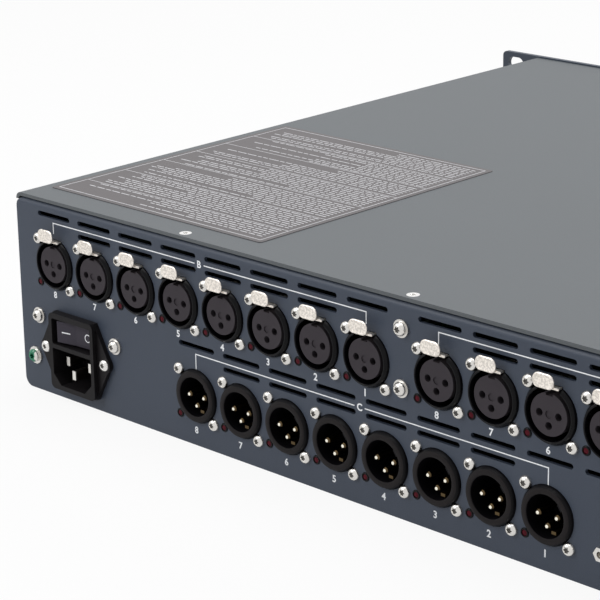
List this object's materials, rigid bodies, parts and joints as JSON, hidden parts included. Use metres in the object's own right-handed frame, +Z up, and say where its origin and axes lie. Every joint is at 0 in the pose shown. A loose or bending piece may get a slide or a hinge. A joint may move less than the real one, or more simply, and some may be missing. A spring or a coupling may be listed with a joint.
{
  "type": "microphone preamp",
  "caption": "Rack-mounting microphone preamp: flat steel case with latching microphone inputs, line outputs, switched mains inlet, vent slots, and a front panel with display, buttons and knob.",
  "frame": {"origin": "centre of the case's underside, midway between its sides and between its front and rear faces", "axes": "+X to the right when the front panel is faced, +Y from the front panel to the rear panel, +Z up"},
  "size_m": [0.4826, 0.3792, 0.0881],
  "materials": {
    "cover_coat": "satin fine texture",
    "rear_coat": "satin fine texture",
    "front_coat": "satin",
    "zinc_sheet": "satin",
    "plate_film": "satin",
    "screw_nickel": "bright nickel",
    "washer_nickel": "bright nickel",
    "inlet_screw_steel": "satin",
    "screw_black": "satin",
    "shell_gloss": "gloss",
    "shell_matte": "matte",
    "insert_grey": "matte",
    "pin_brass": "bright",
    "lamp_red": "gloss, translucent",
    "latch_nickel": "satin nickel",
    "inlet_black": "satin",
    "blade_nickel": "bright",
    "rocker_black": "satin",
    "shell_steel": "satin",
    "insert_black": "matte",
    "window_smoke": "gloss",
    "module_black": "matte",
    "board_green": "satin",
    "lamp_green": "gloss",
    "encoder_metal": "satin",
    "knob_black": "satin",
    "button_grey": "satin",
    "fin_aluminium": "satin",
    "capacitor_sleeve": "satin",
    "transformer_wrap": "satin",
    "relay_white": "satin",
    "cable_grey": "satin"
  },
  "bodies": {
    "case": {"top_cover": "cover_coat", "base_tray": "cover_coat", "rear_panel": "rear_coat", "front_panel": "front_coat", "front_frame": "zinc_sheet", "rating_plate": "plate_film", "cover_screws": "screw_nickel", "case_screws": "screw_nickel", "socket_screws": "screw_nickel", "hex_posts": "screw_nickel", "case_washers": "washer_nickel", "ground_terminal": "washer_nickel", "inlet_screws": "inlet_screw_steel", "front_screws": "screw_black", "input_shells": "shell_gloss", "output_shells": "shell_matte", "input_inserts": "insert_grey", "output_pins": "pin_brass", "channel_lamps": "lamp_red", "inlet_body": "inlet_black", "inlet_blades": "blade_nickel", "multipin_shells": "shell_steel", "network_sockets": "shell_steel", "multipin_inserts": "insert_black", "display_window": "window_smoke", "display_module": "module_black", "front_board": "board_green", "socket_boards": "board_green", "power_board": "board_green", "preamp_boards": "board_green", "control_board": "board_green", "front_lamps": "lamp_green", "encoder_body": "encoder_metal", "board_pillars": "encoder_metal", "heat_sinks": "fin_aluminium", "power_capacitors": "capacitor_sleeve", "power_transformer": "transformer_wrap", "signal_relays": "relay_white", "inner_cables": "cable_grey"},
    "latch_b8_body": {"latch_b8": "latch_nickel"},
    "latch_b7_body": {"latch_b7": "latch_nickel"},
    "latch_b6_body": {"latch_b6": "latch_nickel"},
    "latch_b5_body": {"latch_b5": "latch_nickel"},
    "latch_b4_body": {"latch_b4": "latch_nickel"},
    "latch_b3_body": {"latch_b3": "latch_nickel"},
    "latch_b2_body": {"latch_b2": "latch_nickel"},
    "latch_b1_body": {"latch_b1": "latch_nickel"},
    "latch_a8_body": {"latch_a8": "latch_nickel"},
    "latch_a7_body": {"latch_a7": "latch_nickel"},
    "latch_a6_body": {"latch_a6": "latch_nickel"},
    "latch_a5_body": {"latch_a5": "latch_nickel"},
    "latch_a4_body": {"latch_a4": "latch_nickel"},
    "latch_a3_body": {"latch_a3": "latch_nickel"},
    "latch_a2_body": {"latch_a2": "latch_nickel"},
    "latch_a1_body": {"latch_a1": "latch_nickel"},
    "power_rocker_body": {"power_rocker": "rocker_black"},
    "control_knob_body": {"control_knob": "knob_black"},
    "left_button_body": {"left_button": "button_grey"},
    "middle_button_body": {"middle_button": "button_grey"},
    "right_button_body": {"right_button": "button_grey"}
  },
  "joints": [
    {"name": "latch_b8_press", "type": "slide", "parent": "case", "child": "latch_b8_body", "axis": [0, -1, 0], "range_m": [0, 0.0015], "stiffness_N_per_m": 300},
    {"name": "latch_b7_press", "type": "slide", "parent": "case", "child": "latch_b7_body", "axis": [0, -1, 0], "range_m": [0, 0.0015], "stiffness_N_per_m": 300},
    {"name": "latch_b6_press", "type": "slide", "parent": "case", "child": "latch_b6_body", "axis": [0, -1, 0], "range_m": [0, 0.0015], "stiffness_N_per_m": 300},
    {"name": "latch_b5_press", "type": "slide", "parent": "case", "child": "latch_b5_body", "axis": [0, -1, 0], "range_m": [0, 0.0015], "stiffness_N_per_m": 300},
    {"name": "latch_b4_press", "type": "slide", "parent": "case", "child": "latch_b4_body", "axis": [0, -1, 0], "range_m": [0, 0.0015], "stiffness_N_per_m": 300},
    {"name": "latch_b3_press", "type": "slide", "parent": "case", "child": "latch_b3_body", "axis": [0, -1, 0], "range_m": [0, 0.0015], "stiffness_N_per_m": 300},
    {"name": "latch_b2_press", "type": "slide", "parent": "case", "child": "latch_b2_body", "axis": [0, -1, 0], "range_m": [0, 0.0015], "stiffness_N_per_m": 300},
    {"name": "latch_b1_press", "type": "slide", "parent": "case", "child": "latch_b1_body", "axis": [0, -1, 0], "range_m": [0, 0.0015], "stiffness_N_per_m": 300},
    {"name": "latch_a8_press", "type": "slide", "parent": "case", "child": "latch_a8_body", "axis": [0, -1, 0], "range_m": [0, 0.0015], "stiffness_N_per_m": 300},
    {"name": "latch_a7_press", "type": "slide", "parent": "case", "child": "latch_a7_body", "axis": [0, -1, 0], "range_m": [0, 0.0015], "stiffness_N_per_m": 300},
    {"name": "latch_a6_press", "type": "slide", "parent": "case", "child": "latch_a6_body", "axis": [0, -1, 0], "range_m": [0, 0.0015], "stiffness_N_per_m": 300},
    {"name": "latch_a5_press", "type": "slide", "parent": "case", "child": "latch_a5_body", "axis": [0, -1, 0], "range_m": [0, 0.0015], "stiffness_N_per_m": 300},
    {"name": "latch_a4_press", "type": "slide", "parent": "case", "child": "latch_a4_body", "axis": [0, -1, 0], "range_m": [0, 0.0015], "stiffness_N_per_m": 300},
    {"name": "latch_a3_press", "type": "slide", "parent": "case", "child": "latch_a3_body", "axis": [0, -1, 0], "range_m": [0, 0.0015], "stiffness_N_per_m": 300},
    {"name": "latch_a2_press", "type": "slide", "parent": "case", "child": "latch_a2_body", "axis": [0, -1, 0], "range_m": [0, 0.0015], "stiffness_N_per_m": 300},
    {"name": "latch_a1_press", "type": "slide", "parent": "case", "child": "latch_a1_body", "axis": [0, -1, 0], "range_m": [0, 0.0015], "stiffness_N_per_m": 300},
    {"name": "power_rocker_tilt", "type": "hinge", "parent": "case", "child": "power_rocker_body", "pos_m": [0.1833, 0.174, 0.0311], "axis": [0, 0, -1], "range_deg": [0, 14]},
    {"name": "control_knob_turn", "type": "hinge", "parent": "case", "child": "control_knob_body", "pos_m": [0.16, -0.1815, 0.04405], "axis": [0, -1, 0], "continuous": true},
    {"name": "left_button_press", "type": "slide", "parent": "case", "child": "left_button_body", "axis": [0, 1, 0], "range_m": [0, 0.0012], "stiffness_N_per_m": 300},
    {"name": "middle_button_press", "type": "slide", "parent": "case", "child": "middle_button_body", "axis": [0, 1, 0], "range_m": [0, 0.0012], "stiffness_N_per_m": 300},
    {"name": "right_button_press", "type": "slide", "parent": "case", "child": "right_button_body", "axis": [0, 1, 0], "range_m": [0, 0.0012], "stiffness_N_per_m": 300}
  ]
}
